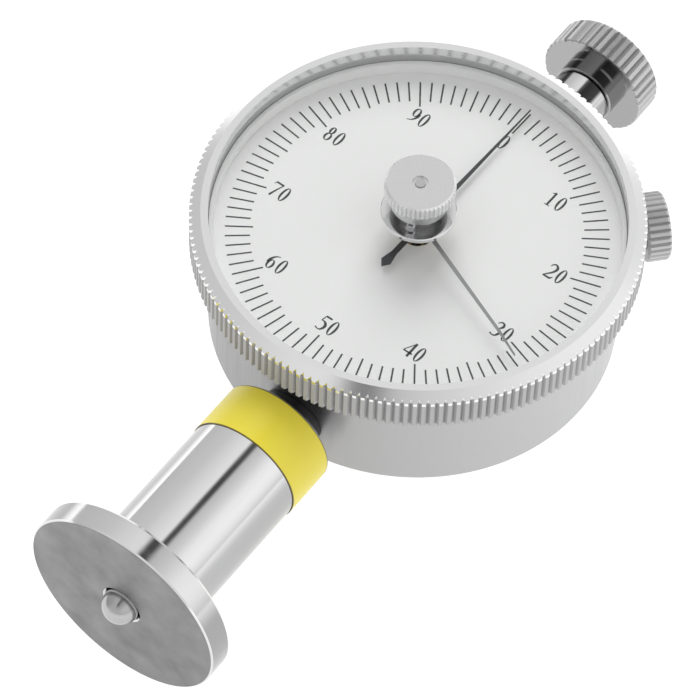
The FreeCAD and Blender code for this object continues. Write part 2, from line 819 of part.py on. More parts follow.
def main_hand():
    """Long tapered pointer with a diamond counterweight on its tail."""
    blade = plate("hand_blade", [
        ("pointer_tip / 2", "main_hand_length"),
        ("-pointer_tip / 2", "main_hand_length"),
        ("-main_hand_width / 2", "hand_boss_radius"),
        ("-main_hand_width / 2", "-tail_start"),
        ("-tail_width / 2", "-tail_widest"),
        ("0", "-main_tail_length"),
        ("tail_width / 2", "-tail_widest"),
        ("main_hand_width / 2", "-tail_start"),
        ("main_hand_width / 2", "hand_boss_radius")], "hand_thickness")
    disc = cylinder("hand_disc", "hand_boss_radius", "hand_thickness")
    hole = put(cylinder("hand_hole", "centre_arbor_radius + seat_gap", "1"), z="-0.5")
    hand = cut("hand", joined("hand_blank", [blade, disc]), [hole])
    put(hand, z="dial_height + main_hand_height", turn=about_z(-number("dial_turn")))
    name_node(hand, "main_hand")


def hand_boss():
    top = "dial_height + main_hand_height - seat_gap"
    name_node(tube("boss_ring", "hand_boss_radius", "centre_arbor_radius + seat_gap",
                   top + " - hand_boss_height", top), "hand_boss")


# Stem, presser foot and what is held in them. Their local Z runs from the case to the foot.

def stem_piece(piece, label):
    name_node(put(piece, z="stem_height", turn=TOWARD_FOOT), label)


def stem_collar():
    """Black collar: a neck hollowed to the case, a spigot into it and a plug in the stem."""
    neck = put(turned("collar_neck", [
        ("collar_bore", "case_radius - case_wall"),
        ("collar_radius", "case_radius - case_wall"),
        ("collar_radius", "stem_top + edge_bevel"),
        ("stem_bore - seat_gap", "stem_top + edge_bevel"),
        ("stem_bore - seat_gap", "stem_top + collar_plug"),
        ("collar_bore", "stem_top + collar_plug")]), z="stem_height", turn=TOWARD_FOOT)
    case_room = put(cylinder("case_room", "case_radius + bearing_gap", "2 * dial_height"),
                    z="-dial_height / 2")
    saddle = cut("collar_saddle", neck, [case_room])
    spigot = put(tube("collar_tail", "collar_spigot", "collar_bore",
                      "%s - nut_thickness - 4 * edge_bevel" % case_inside, "stem_top"),
                 z="stem_height", turn=TOWARD_FOOT)
    name_node(joined("collar", [saddle, spigot]), "stem_collar")


def collar_nut():
    high = "(%s - 3 * edge_bevel)" % case_inside
    stem_piece(tube("ring_nut", "nut_radius", "collar_spigot + seat_gap",
                    high + " - nut_thickness", high), "collar_nut")


def upper_bush():
    stem_piece(tube("bush_above", "collar_bore - seat_gap", "spindle_radius + bearing_gap",
                    case_inside + " - nut_thickness", "stem_top + collar_plug - edge_bevel"),
               "upper_bush")


def stem_tube():
    """Chromed tube with a step for the lower bush and a spigot that carries the foot."""
    spigot_end = "stem_end + stem_spigot_length"
    stem_piece(turned("stem", [
        ("stem_bore", "stem_top"),
        ("stem_radius - edge_bevel", "stem_top"),
        ("stem_radius", "stem_top + edge_bevel"),
        ("stem_radius", "stem_end"),
        ("stem_spigot", "stem_end"),
        ("stem_spigot", spigot_end),
        ("foot_hole", spigot_end),
        ("foot_hole", bush_step + " + bearing_gap"),
        ("stem_bore", bush_step + " + bearing_gap")]), "stem_tube")


def seal_band():
    low = "stem_top + edge_bevel + band_offset"
    stem_piece(tube("band", "stem_radius + seat_gap + band_thickness", "stem_radius + seat_gap",
                    low, low + " + band_width - edge_bevel"), "seal_band")


def spring_adjuster():
    high = adjuster_base
    stem_piece(tube("adjuster", "stem_bore - seat_gap", "spindle_radius + turn_gap",
                    high + " - adjuster_length", high), "spring_adjuster")


def lower_bush():
    stem_piece(tube("bush_below", "stem_bore - seat_gap", "spindle_radius + bearing_gap",
                    lower_bush_top, bush_step), "lower_bush")


def presser_foot():
    """Thin disc with a flat pressing face, screwed on the stem's spigot."""
    seat = "stem_spigot + seat_gap"
    stem_piece(turned("foot", [
        (seat, "stem_end + seat_gap"),
        ("foot_radius - foot_bevel", "stem_end + seat_gap"),
        ("foot_radius", "stem_end + foot_bevel"),
        ("foot_radius", foot_face + " - foot_bevel / 2"),
        ("foot_radius - foot_bevel / 2", foot_face),
        ("foot_hole + foot_hole_bevel", foot_face),
        ("foot_hole", foot_face + " - foot_hole_bevel"),
        ("foot_hole", "stem_end + stem_spigot_length + seat_gap"),
        (seat, "stem_end + stem_spigot_length + seat_gap")]), "presser_foot")


def main_spring():
    """Helical load spring between the spindle's collar and the adjuster."""
    radius = number("spring_radius")
    wire = number("spring_wire")
    turns = number("spring_turns")
    length = number("spring_length") - 2 * wire
    steps = int(round(COIL_STEPS * turns))
    rings = []
    for step in range(steps + 1):
        around = 2 * math.pi * turns * step / steps
        ring = []
        for side in range(WIRE_SIDES):
            across = 2 * math.pi * side / WIRE_SIDES
            lift = Vector(0, 0, length * step / steps + wire * math.sin(across))
            ring.append(polar(radius + wire * math.cos(across), around) + lift)
        rings.append(ring)
    faces = [Part.Face(Part.makePolygon(ring + [ring[0]])) for ring in (rings[0], rings[-1])]
    for lower, upper in zip(rings[:-1], rings[1:]):
        for side in range(WIRE_SIDES):
            after = (side + 1) % WIRE_SIDES
            for corners in ((lower[side], lower[after], upper[after]),
                            (lower[side], upper[after], upper[side])):
                faces.append(Part.Face(Part.makePolygon(list(corners) + [corners[0]])))
    coil = Part.Solid(Part.Shell(faces))
    if coil.Volume < 0:
        coil.reverse()
    place = "%s - spring_length - turn_gap + spring_wire" % spring_base
    spring = shaped("coil", coil, y="-(%s)" % place, z="stem_height", turn=TOWARD_FOOT)
    name_node(spring, "main_spring")


# Spindle and the pieces that slide with it.

def rack_gap(middle, low, high):
    """Cutter between two rack teeth, seen from above, straight-sided at the pressure angle."""
    pitch = number("rack_pitch")
    module = pitch / math.pi
    line = number("rack_line")
    half_tooth = pitch / 4 - number("backlash") / 2
    outside = number("spindle_radius") + 1
    points = []
    for side, depth in ((-1, outside), (-1, line - 1.25 * module), (1, line - 1.25 * module),
                        (1, outside)):
        half_gap = pitch / 2 - half_tooth + (depth - line) * math.tan(PRESSURE_ANGLE)
        points.append(Vector(-depth, middle + side * half_gap, 0))
    return prism(points, low, high)


def spindle():
    """Ground rod with the rack cut in its side and a bore for the indenter's shank."""
    radius = number("spindle_radius")
    start = number(indenter_back + " - bearing_gap")
    height = number("stem_height")
    rod = Part.makeCylinder(radius, start + number("spindle_top"), Vector(0, -start, height),
                            Vector(0, 1, 0))
    shank = Part.makeCylinder(number("indenter_shank + seat_gap"), number("indenter_shank_length"),
                              Vector(0, -start, height), Vector(0, 1, 0))
    pitch = number("rack_pitch")
    centre = number(wheel_y)
    below = number("rack_teeth_below")
    above = number("rack_teeth_above")
    tips = number("rack_line") + pitch / math.pi
    low = height - radius - 1
    high = height + radius + 1
    flat = Part.makeBox(radius, (below + above + 1) * pitch, high - low,
                        Vector(-tips - radius, centre - (below + 0.5) * pitch, low))
    cutters = [shank, flat]
    for index in range(-int(below), int(above) + 2):
        cutters.append(rack_gap(centre + (index - 0.5) * pitch, low, high))
    pin_hole = Part.makeCylinder(number("guide_pin_radius + seat_gap"), 2 * radius,
                                 Vector(-2 * radius, -number("guide_pin_place"), height),
                                 Vector(1, 0, 0))
    cutters.append(pin_hole)
    name_node(shaped("spindle_rod", rod.cut(cutters)), "spindle")


def indenter():
    """Ball-ended indenter: a hemisphere stands out of the foot by its own radius."""
    radius = number("indenter_radius")
    face = number(foot_face)
    back = number(indenter_back)
    shank = number("indenter_shank")
    root = back - number("indenter_shank_length - turn_gap")
    tip = Vector(0, 0, face + radius)
    side = Vector(radius, 0, face)
    middle = Vector(radius * math.sin(math.pi / 4), 0, face + radius * math.cos(math.pi / 4))
    corners = [side, Vector(radius, 0, back), Vector(shank, 0, back), Vector(shank, 0, root),
               Vector(0, 0, root), tip]
    edges = [Part.Arc(tip, middle, side).toShape()]
    for first, second in zip(corners[:-1], corners[1:]):
        edges.append(Part.LineSegment(first, second).toShape())
    solid = Part.Face(Part.Wire(edges)).revolve(Vector(0, 0, 0), Vector(0, 0, 1), 360)
    name_node(shaped("ball_pin", solid, z="stem_height", turn=TOWARD_FOOT), "indenter")


def spring_collar():
    stem_piece(tube("collar_on_spindle", "spring_collar_radius", "spindle_radius + seat_gap",
                    spring_base, spring_base + " + spring_collar_length"), "spring_collar")


def guide_pin():
    """Cross pin of the spindle, which runs in the guide's slot and stops it turning."""
    pin = cylinder("cross_pin", "guide_pin_radius", "guide_pin_reach - seat_gap")
    name_node(put(pin, "-seat_gap", "-guide_pin_place", "stem_height", TOWARD_LEFT), "guide_pin")


# Top neck with its stud, and the knob that covers it. Their local Z runs to the top.

def top_piece(piece, label, start="0"):
    name_node(put(piece, y=start, z="stem_height", turn=TOWARD_TOP), label)


def neck_tube():
    top_piece(turned("neck", [
        ("neck_bore", "neck_start"),
        ("neck_radius", "neck_start"),
        ("neck_radius", "neck_end - edge_bevel"),
        ("neck_radius - edge_bevel", "neck_end"),
        ("stud_radius + seat_gap", "neck_end"),
        ("stud_radius + seat_gap", "stud_start - seat_gap"),
        ("neck_bore", "stud_start - seat_gap")]), "neck_tube")


def knob_stud():
    top_piece(cylinder("stud", "stud_radius", "stud_end - stud_start"), "knob_stud", "stud_start")


def top_knob():
    """Coarsely knurled cap with a plain collar, screwed over the stud."""
    bore = "stud_radius + bearing_gap"
    beyond = "(cap_radius + 1)"
    form = turned("cap_form", [
        (bore, "neck_end + turn_gap"),
        ("cap_collar_radius - edge_bevel / 2", "neck_end + turn_gap"),
        ("cap_collar_radius", "neck_end + turn_gap + edge_bevel / 2"),
        ("cap_collar_radius", "cap_base"),
        ("cap_radius - cap_bevel / 2", "cap_base"),
        (beyond, "cap_base + 1 + cap_bevel / 2"),
        (beyond, "cap_end - 1 - cap_bevel"),
        ("cap_radius - cap_bevel", "cap_end"),
        ("0", "cap_end"),
        ("0", "stud_end + turn_gap"),
        (bore, "stud_end + turn_gap")])
    bar = knurled("cap_bar", "cap_radius", "cap_knurl_depth", "cap_knurl_count",
                  "neck_end", "cap_end + 1")
    knob = doc.addObject("Part::Common", "cap")
    knob.Base = form
    knob.Tool = bar
    top_piece(knob, "top_knob")


# Bezel clamp in the side of the case. Its local Z runs outwards.

def clamp_piece(piece, label):
    name_node(put(piece, z="clamp_height", turn=outward(number("clamp_angle"))), label)


def clamp_boss():
    """Threaded boss let into the case wall; the shoe slides in its inner end."""
    back = "%s + shoe_length + shoe_gap + 2 * turn_gap" % shoe_face
    wall = "(%s + turn_gap)" % case_inside
    clamp_piece(turned("boss", [
        ("shoe_radius + bearing_gap", wall),
        ("clamp_boss_radius - seat_gap", wall),
        ("clamp_boss_radius - seat_gap", "clamp_boss_end"),
        ("clamp_screw_radius + bearing_gap", "clamp_boss_end"),
        ("clamp_screw_radius + bearing_gap", back),
        ("shoe_radius + bearing_gap", back)]), "clamp_boss")


def clamp_shoe():
    clamp_piece(turned("shoe", [
        ("0", shoe_face),
        ("shoe_radius", shoe_face),
        ("shoe_radius", shoe_face + " + shoe_length"),
        ("0", shoe_face + " + shoe_length")]), "clamp_shoe")


def clamp_knob():
    """Small knurled thumb screw with a domed end."""
    beyond = "(clamp_head_radius + 1)"
    end = "(clamp_head_base + clamp_head_length)"
    form = turned("thumb_form", [
        ("0", shoe_face + " + shoe_length + seat_gap"),
        ("clamp_screw_radius", shoe_face + " + shoe_length + seat_gap"),
        ("clamp_screw_radius", "clamp_head_base"),
        ("clamp_head_radius - edge_bevel", "clamp_head_base"),
        (beyond, "clamp_head_base + 1 + edge_bevel"),
        (beyond, end + " - clamp_dome - 1"),
        ("clamp_head_radius - edge_bevel", end + " - clamp_dome / 2"),
        ("clamp_head_radius / 2", end + " - clamp_dome / 8"),
        ("0", end)])
    bar = knurled("thumb_bar", "clamp_head_radius", "clamp_knurl_depth", "clamp_knurl_count",
                  "0", "clamp_head_base + clamp_head_length + 1")
    knob = doc.addObject("Part::Common", "thumb")
    knob.Base = form
    knob.Tool = bar
    clamp_piece(knob, "clamp_knob")


# Movement: two plates on pillars, a bridge, and the train from the rack to the pointer.

PILLAR_SIDES = ("pillar_angle", "180 - pillar_angle", "180 + pillar_angle", "-pillar_angle")


def pillar_places():
    return [on_circle("pillar_circle", angle) for angle in PILLAR_SIDES]


def bridge_places():
    return [on_circle("bridge_reach", angle) for angle in ("bridge_angle", "180 + bridge_angle")]


def pivot_holes(prefix, low, high, radius="pivot_radius"):
    """Holes on the two wheel arbors' axes."""
    holes = []
    for name, x, y in (("rack", "-" + wheel_x, wheel_y), ("takeup", wheel_x, "-" + wheel_y)):
        hole = cylinder("%s_%s" % (prefix, name), radius + " + bearing_gap",
                        "%s - %s" % (high, low))
        holes.append(put(hole, x, y, low))
    return holes


def rear_plate():
    disc = put(cylinder("rear_disc", "rear_plate_radius", "rear_plate_thickness"), z=lug_top)
    notch = put(plate("rear_notch", [
        ("-nut_radius - turn_gap", "0"),
        ("nut_radius + turn_gap", "0"),
        ("nut_radius + turn_gap", "rear_plate_radius"),
        ("-nut_radius - turn_gap", "rear_plate_radius")], "2 * rear_plate_thickness"),
        y="-rear_plate_radius - %s + nut_thickness + 4 * edge_bevel" % case_inside,
        z=lug_top + " - rear_plate_thickness / 2")
    holes = pivot_holes("rear_pivot", lug_top, rear_plate_top)
    for index, (x, y) in enumerate(pillar_places()):
        hole = cylinder("rivet_hole_%d" % index, "rivet_radius + seat_gap", "rear_plate_thickness")
        holes.append(put(hole, x, y, lug_top))
    holes += screw_holes("frame_hole", "cover_screw_angle", "screw_radius + seat_gap",
                         lug_top, rear_plate_top)
    name_node(cut("rear", disc, [notch] + holes), "rear_plate")


def front_plate():
    top = "(front_plate_height + front_plate_thickness)"
    disc = put(cylinder("front_disc", "front_plate_radius", "front_plate_thickness"),
               z="front_plate_height")
    holes = pivot_holes("front_pivot", "front_plate_height", top)
    holes.append(put(cylinder("centre_bearing", "arbor_radius + bearing_gap",
                              "front_plate_thickness"), z="front_plate_height"))
    for index, (x, y) in enumerate(pillar_places() + bridge_places()):
        hole = cylinder("plate_hole_%d" % index, "screw_radius + seat_gap",
                        "front_plate_thickness")
        holes.append(put(hole, x, y, "front_plate_height"))
    name_node(cut("front", disc, holes), "front_plate")


def tapped_end(name):
    """Tool for the threaded hole in the top of a pillar or post."""
    return tube(name, "screw_radius + seat_gap", "0", "front_plate_height - screw_length",
                "front_plate_height")


def plate_pillars():
    pillars = []
    for index, (x, y) in enumerate(pillar_places()):
        post = turned("pillar_%d" % index, [
            ("0", lug_top),
            ("rivet_radius", lug_top),
            ("rivet_radius", rear_plate_top),
            ("pillar_radius", rear_plate_top),
            ("pillar_radius", "front_plate_height"),
            ("screw_radius + seat_gap", "front_plate_height"),
            ("screw_radius + seat_gap", "front_plate_height - screw_length"),
            ("0", "front_plate_height - screw_length")])
        pillars.append(put(post, x, y))
    name_node(group("pillar_set", pillars), "plate_pillars")


def pan_screw(name, seat, reach):
    """Small pan-head screw whose head sits at a height and whose end reaches down."""
    return turned(name, [
        ("0", reach),
        ("screw_radius", reach),
        ("screw_radius", seat),
        ("screw_head_radius", seat),
        ("screw_head_radius", seat + " + 0.6 * screw_head_height"),
        ("0.8 * screw_head_radius", seat + " + screw_head_height"),
        ("0", seat + " + screw_head_height")])


def plate_screws():
    screws = []
    for index, (x, y) in enumerate(pillar_places() + bridge_places()):
        screw = pan_screw("plate_screw_%d" % index, "front_plate_height + front_plate_thickness",
                          "front_plate_height - screw_length + seat_gap")
        screws.append(put(screw, x, y))
    name_node(group("plate_screw_set", screws), "plate_screws")


def frame_screws():
    screws = []
    for lug in LUG_ANGLES:
        x, y = on_circle("cover_screw_circle", "%d + cover_screw_angle" % lug)
        screw = pan_screw("frame_screw_%d" % lug, rear_plate_top,
                          "%s - screw_radius + seat_gap" % lug_top)
        screws.append(put(screw, x, y))
    name_node(group("frame_screw_set", screws), "frame_screws")


def centre_bridge():
    """Strap under the centre pinion, hung from the front plate by two posts."""
    strap = put(plate("strap", [
        ("-bridge_reach - pillar_radius", "-bridge_width / 2"),
        ("bridge_reach + pillar_radius", "-bridge_width / 2"),
        ("bridge_reach + pillar_radius", "bridge_width / 2"),
        ("-bridge_reach - pillar_radius", "bridge_width / 2")], "bridge_thickness"),
        z="bridge_height", turn=about_z(number("bridge_angle")))
    posts = []
    for index, (x, y) in enumerate(bridge_places()):
        post = tube("bridge_post_%d" % index, "pillar_radius", "0", "bridge_height",
                    "front_plate_height")
        posts.append(put(post, x, y))
    holes = [put(cylinder("bridge_pivot", "pivot_radius + bearing_gap", "2 * bridge_thickness"),
                 z="bridge_height - bridge_thickness / 2")]
    for index, (x, y) in enumerate(bridge_places()):
        holes.append(put(tapped_end("bridge_tap_%d" % index), x, y))
    name_node(cut("bridge", joined("bridge_blank", [strap] + posts), holes), "centre_bridge")


def arbor(name, base, top, x, y):
    """Pivoted arbor between the rear plate and the front plate."""
    rod = turned(name, [
        ("0", rear_plate_top + " - pivot_length"),
        ("pivot_radius", rear_plate_top + " - pivot_length"),
        ("pivot_radius", base),
        ("arbor_radius", base),
        ("arbor_radius", top),
        ("pivot_radius", top),
        ("pivot_radius", "front_plate_height + pivot_length"),
        ("0", "front_plate_height + pivot_length")])
    return put(rod, x, y)


def wheel_bearing():
    """Angle of the rack arbor seen from the centre arbor, in degrees."""
    return math.degrees(math.atan2(number(wheel_y), -number(wheel_x)))


def rack_pinion():
    """Pinion driven by the rack, in one piece with its arbor."""
    rod = arbor("rack_arbor", rear_plate_top + " + bearing_gap",
                "front_plate_height - bearing_gap", "-" + wheel_x, wheel_y)
    half_tooth = 180 / number("pinion_teeth")
    teeth = gear("rack_teeth", "rack_pitch / pi", "pinion_teeth", half_tooth,
                 "rack_pinion_base", "rack_pinion_base + rack_pinion_length",
                 "-" + wheel_x, wheel_y)
    name_node(joined("rack_pinion_blank", [rod, teeth]), "rack_pinion")


def bored_wheel(name, phase, x, y, label):
    """Thin wheel with a bore for its arbor and four lightening holes."""
    high = "wheel_height + wheel_thickness"
    circle = "(0.6 * %s)" % wheel_radius
    blank = gear(name + "_teeth", "gear_module", "wheel_teeth", phase, "wheel_height", high, x, y)
    holes = [put(cylinder(name + "_bore", "arbor_radius + seat_gap", "2 * wheel_thickness"),
                 x, y, "wheel_height - wheel_thickness / 2")]
    for quarter in range(4):
        angle = quarter * RIGHT_ANGLE
        hole = cylinder("%s_hole_%d" % (name, quarter), "%s / 4" % wheel_radius,
                        "2 * wheel_thickness")
        holes.append(put(hole, "%s + %s * cos(%d)" % (x, circle, angle),
                         "%s + %s * sin(%d)" % (y, circle, angle),
                         "wheel_height - wheel_thickness / 2"))
    name_node(cut(name, blank, holes), label)


def wheels():
    bearing = wheel_bearing()
    bored_wheel("drive", bearing + 180, "-" + wheel_x, wheel_y, "drive_wheel")
    bored_wheel("takeup", bearing, wheel_x, "-" + wheel_y, "takeup_wheel")


def centre_pinion():
    """Centre pinion with its arbor, which carries the main hand above the dial."""
    low = "bridge_height + bridge_thickness"
    rod = turned("centre_rod", [
        ("0", low + " - pivot_length / 2"),
        ("pivot_radius", low + " - pivot_length / 2"),
        ("pivot_radius", low + " + bearing_gap"),
        ("arbor_radius", low + " + bearing_gap"),
        ("arbor_radius", "front_plate_height + front_plate_thickness"),
        ("centre_arbor_radius", "front_plate_height + front_plate_thickness"),
        ("centre_arbor_radius", "centre_arbor_top"),
        ("0", "centre_arbor_top")])
    half_tooth = 180 / number("pinion_teeth")
    base = low + " + 3 * bearing_gap"
    teeth = gear("centre_teeth", "gear_module", "pinion_teeth", wheel_bearing() + half_tooth,
                 base, base + " + pinion_thickness")
    name_node(joined("centre_blank", [rod, teeth]), "centre_pinion")


def takeup_arbor():
    rod = arbor("takeup_rod", rear_plate_top + " + bearing_gap",
                "front_plate_height - bearing_gap", wheel_x, "-" + wheel_y)
    collet = put(cylinder("collet", "collet_radius", "collet_height"), wheel_x, "-" + wheel_y,
                 "hairspring_height + hairspring_width / 2 - collet_height / 2")
    name_node(joined("takeup_blank", [rod, collet]), "takeup_arbor")


def hairspring():
    """Flat spiral from the collet to its stud, which takes up the backlash."""
    inner = number("collet_radius + bearing_gap")
    outer = number("hairspring_radius")
    wire = number("hairspring_wire")
    steps = int(round(SPIRAL_STEPS * number("hairspring_turns")))
    near = []
    far = []
    for index in range(steps + 1):
        share = index / steps
        angle = 2 * math.pi * number("hairspring_turns") * share
        radius = inner + (outer - inner) * share
        near.append(polar(radius, angle))
        far.append(polar(radius + wire, angle))
    low = number("hairspring_height")
    strip = prism(near + far[::-1], low, low + number("hairspring_width"))
    name_node(shaped("spiral", strip, wheel_x, "-" + wheel_y), "hairspring")


def hairspring_stud():
    """Post under the front plate that holds the hairspring's outer end."""
    angle = "360 * hairspring_turns"
    reach = "(hairspring_radius + hairspring_wire + pivot_radius + bearing_gap)"
    post = cylinder("spiral_post", "pivot_radius",
                    "front_plate_height - hairspring_height + hairspring_width")
    put(post, "%s + %s * cos(%s)" % (wheel_x, reach, angle),
        "%s * sin(%s) - %s" % (reach, angle, wheel_y), "hairspring_height - hairspring_width")
    name_node(post, "hairspring_stud")


def guide_block():
    """Slotted block on the rear plate in which the spindle's cross pin runs."""
    far = "(-guide_start - guide_width)"
    slot = "(guide_pin_radius + bearing_gap)"
    profile = plate("guide_profile", [
        (far, rear_plate_top),
        ("-guide_start", rear_plate_top),
        ("-guide_start", "stem_height - " + slot),
        (far + " + guide_width / 8", "stem_height - " + slot),
        (far + " + guide_width / 8", "stem_height + " + slot),
        ("-guide_start", "stem_height + " + slot),
        ("-guide_start", "guide_top"),
        (far, "guide_top")], "guide_length", "XZ_Plane", True)
    put(profile, y="-guide_pin_place + indenter_travel / 2")
    name_node(profile, "guide_block")


makers = (case_shell, back_cover, bezel_ring, crystal, crystal_gasket, dial_plate, dial_carrier,
          snap_ring, hub_bush, hub_flange, drag_arbor, reset_knob, knob_screw, drag_hand,
          main_hand, hand_boss, stem_collar, collar_nut, upper_bush, stem_tube, seal_band,
          spring_adjuster, lower_bush, presser_foot, main_spring, spindle, indenter,
          spring_collar, guide_pin, neck_tube, knob_stud, top_knob, clamp_boss, clamp_shoe,
          clamp_knob, rear_plate, front_plate, plate_pillars, plate_screws, frame_screws,
          centre_bridge, rack_pinion, wheels, centre_pinion, takeup_arbor, hairspring,
          hairspring_stud, guide_block)
for make in makers:
    make()
doc.recompute()

for item in doc.Objects:
    if "Invalid" in item.State or "Error" in item.State:
        raise RuntimeError("%s did not build: %s" % (item.Label, item.State))
for node in nodes:
    if node.Shape.isNull() or not node.Shape.isValid() or not node.Shape.Solids:
        raise RuntimeError("%s has no valid solid" % node.Label)

os.makedirs("parts", exist_ok=True)
for node in nodes:
    node.Shape.exportStep("parts/%s.step" % node.Label)
print("%d sub-parts written" % len(nodes))
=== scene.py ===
import json
import math

import bpy
from mathutils import Matrix, Vector


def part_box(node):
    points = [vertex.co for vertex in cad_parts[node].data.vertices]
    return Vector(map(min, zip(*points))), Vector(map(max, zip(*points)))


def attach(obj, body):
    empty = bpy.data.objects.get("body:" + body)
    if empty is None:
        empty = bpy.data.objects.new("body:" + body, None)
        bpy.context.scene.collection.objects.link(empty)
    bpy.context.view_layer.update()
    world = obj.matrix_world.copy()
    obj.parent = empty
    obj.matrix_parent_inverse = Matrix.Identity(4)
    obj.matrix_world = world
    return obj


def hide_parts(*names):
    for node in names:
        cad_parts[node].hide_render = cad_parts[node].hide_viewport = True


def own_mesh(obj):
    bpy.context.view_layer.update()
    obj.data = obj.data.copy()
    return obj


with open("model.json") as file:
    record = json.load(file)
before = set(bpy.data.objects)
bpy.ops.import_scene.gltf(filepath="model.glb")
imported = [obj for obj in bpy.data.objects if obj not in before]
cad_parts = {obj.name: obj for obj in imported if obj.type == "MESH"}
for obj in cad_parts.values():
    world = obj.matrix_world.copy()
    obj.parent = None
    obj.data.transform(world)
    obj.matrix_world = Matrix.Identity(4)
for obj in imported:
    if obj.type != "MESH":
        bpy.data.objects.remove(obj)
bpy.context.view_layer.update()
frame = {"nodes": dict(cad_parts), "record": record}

# Looks of the dial hardness tester. All lengths are metres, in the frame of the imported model.

MM = 0.001
nodes = frame["nodes"]


def low(node):
    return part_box(node)[0]


def high(node):
    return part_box(node)[1]


# Camera of the photograph, and the floor that the foot and the top knob lie on.

IMAGE_SIZE = 700
SENSOR = 36
FOCAL_PIXELS = 4506.1
CAMERA_AZIMUTH = math.radians(34.014)
CAMERA_ELEVATION = math.radians(54.708)
CAMERA_ROLL = math.radians(2.51)
CAMERA_DISTANCE = 0.58069
CAMERA_AIM = Vector((4.043 * MM, -20.59 * MM, 17.4 * MM))


def make_camera():
    data = bpy.data.cameras.new("camera")
    data.sensor_width = SENSOR
    data.lens = FOCAL_PIXELS / IMAGE_SIZE * SENSOR
    data.clip_start = 0.05
    data.clip_end = 20
    camera = bpy.data.objects.new("camera", data)
    bpy.context.scene.collection.objects.link(camera)
    level = math.cos(CAMERA_ELEVATION)
    back = Vector((math.sin(CAMERA_AZIMUTH) * level, -math.cos(CAMERA_AZIMUTH) * level,
                   math.sin(CAMERA_ELEVATION)))
    turn = back.to_track_quat("Z", "Y").to_matrix() @ Matrix.Rotation(CAMERA_ROLL, 3, "Z")
    camera.matrix_world = Matrix.Translation(CAMERA_AIM + back * CAMERA_DISTANCE) @ turn.to_4x4()
    bpy.context.scene.camera = camera


def flat_material(name, color, roughness, glow):
    material = bpy.data.materials.new(name)
    material.use_nodes = True
    shader = material.node_tree.nodes["Principled BSDF"]
    shader.inputs["Base Color"].default_value = (*color, 1)
    shader.inputs["Roughness"].default_value = roughness
    shader.inputs["Emission Color"].default_value = (1, 1, 1, 1)
    shader.inputs["Emission Strength"].default_value = glow
    return material


FLOOR_REACH = 6.0
FLOOR_GAP = 0.02 * MM
FLOOR_TONE = (0.25, 0.25, 0.25)
FLOOR_ROUGHNESS = 0.9
FLOOR_GLOW = 0.95


def make_floor():
    """Pale floor under the two edges that touch it: the foot's rim and the top knob's rim."""
    near = Vector((0, high("presser_foot").y, low("presser_foot").z))
    far = Vector((0, high("top_knob").y, low("top_knob").z))
    along = (far - near).normalized()
    across = Vector((1, 0, 0))
    normal = across.cross(along)
    centre = (near + far) / 2 - normal * FLOOR_GAP
    corners = [centre + across * FLOOR_REACH * x + along * FLOOR_REACH * y
               for x, y in ((-1, -1), (1, -1), (1, 1), (-1, 1))]
    mesh = bpy.data.meshes.new("floor")
    mesh.from_pydata(corners, [], [(0, 1, 2, 3)])
    mesh.materials.append(flat_material("floor_paper", FLOOR_TONE, FLOOR_ROUGHNESS,
                                        FLOOR_GLOW))
    floor = bpy.data.objects.new("floor", mesh)
    bpy.context.scene.collection.objects.link(floor)


# Studio light: a white tent whose brightness changes from one side to the other, with one
# narrow dark gap overhead, and a soft lamp from behind the dial's top.

TENT_STRENGTH = 1.1
GAP_LEVEL = 0.06
# Each stop is the angle from overhead toward +X, in degrees, and the level there.
TENT_STOPS = [(-180, 0.72), (-90, 0.50), (-45, 0.58), (-15, 0.74), (-3, 0.80), (2, GAP_LEVEL),
              (9, GAP_LEVEL), (14, 0.52), (30, 0.64), (48, 0.86), (64, 0.92), (90, 0.76),
              (180, 0.72)]
# The ends of the tent, toward +Y and -Y, are even: the change starts and ends at these heights
# of the direction's Y.
END_LEVEL = 0.72
END_START = 0.6
END_FULL = 0.9
LAMP_PLACE = (-0.45, 0.75, 0.95)
LAMP_SIZE = 0.9
LAMP_POWER = 9


def math_node(tree, operation, first, second=0.0, third=0.0):
    node = tree.nodes.new("ShaderNodeMath")
    node.operation = operation
    for socket, value in zip(node.inputs, (first, second, third)):
        if isinstance(value, (int, float)):
            socket.default_value = value
        else:
            tree.links.new(value, socket)
    return node.outputs[0]


def ranged(tree, value, start, end, low_value, high_value, smooth=True):
    node = tree.nodes.new("ShaderNodeMapRange")
    node.interpolation_type = "SMOOTHSTEP" if smooth else "LINEAR"
    tree.links.new(value, node.inputs["Value"])
    node.inputs["From Min"].default_value = start
    node.inputs["From Max"].default_value = end
    node.inputs["To Min"].default_value = low_value
    node.inputs["To Max"].default_value = high_value
    return node.outputs["Result"]


